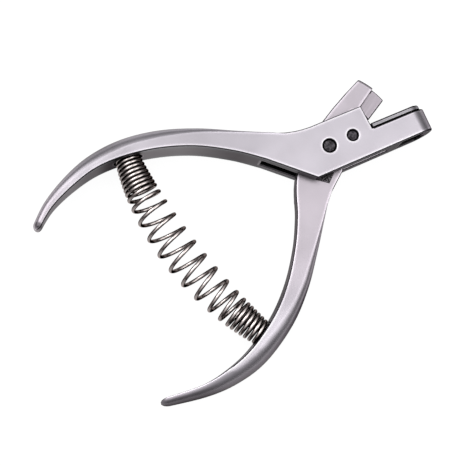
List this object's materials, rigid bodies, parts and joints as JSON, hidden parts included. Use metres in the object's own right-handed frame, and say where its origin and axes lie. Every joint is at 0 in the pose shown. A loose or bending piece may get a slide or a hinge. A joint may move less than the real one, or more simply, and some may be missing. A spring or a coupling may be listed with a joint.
{
  "type": "spring-return hand punch",
  "caption": "Hand punch with a fixed handle, head and slotted lower jaw in one casting, a sprung lever that crosses it, and a thin punching blade over a die plate.",
  "frame": {"origin": "on the pivot axis, in the plane of the head's lower flat face, which the tool lies on", "axes": "+X along the lower jaw towards its tip, +Y towards the open side of the jaws, +Z along the pivot axis, up from the rest face"},
  "size_m": [0.1475, 0.0955, 0.0146],
  "materials": {
    "cast_satin": "satin",
    "blade_steel": "ground",
    "die_steel": "ground",
    "pin_steel": "dark",
    "spring_plated": "polished"
  },
  "bodies": {
    "frame": {"frame": "cast_satin", "die_plate": "die_steel", "die_rivet_back_low": "die_steel", "die_rivet_back_high": "die_steel", "die_rivet_front_low": "die_steel", "die_rivet_front_high": "die_steel", "pivot_pin": "pin_steel", "stop_pin": "pin_steel", "spring": "spring_plated"},
    "lever": {"lever": "cast_satin", "blade": "blade_steel", "blade_rivet_inner": "pin_steel", "blade_rivet_outer": "pin_steel"}
  },
  "joints": [
    {"name": "lever_hinge", "type": "hinge", "parent": "frame", "child": "lever", "pos_m": [0, 0, 0], "axis": [0, 0, -1], "range_deg": [0, 20], "stiffness_Nm_per_rad": 3, "springref_deg": -8.02, "deforming": ["spring"]}
  ]
}
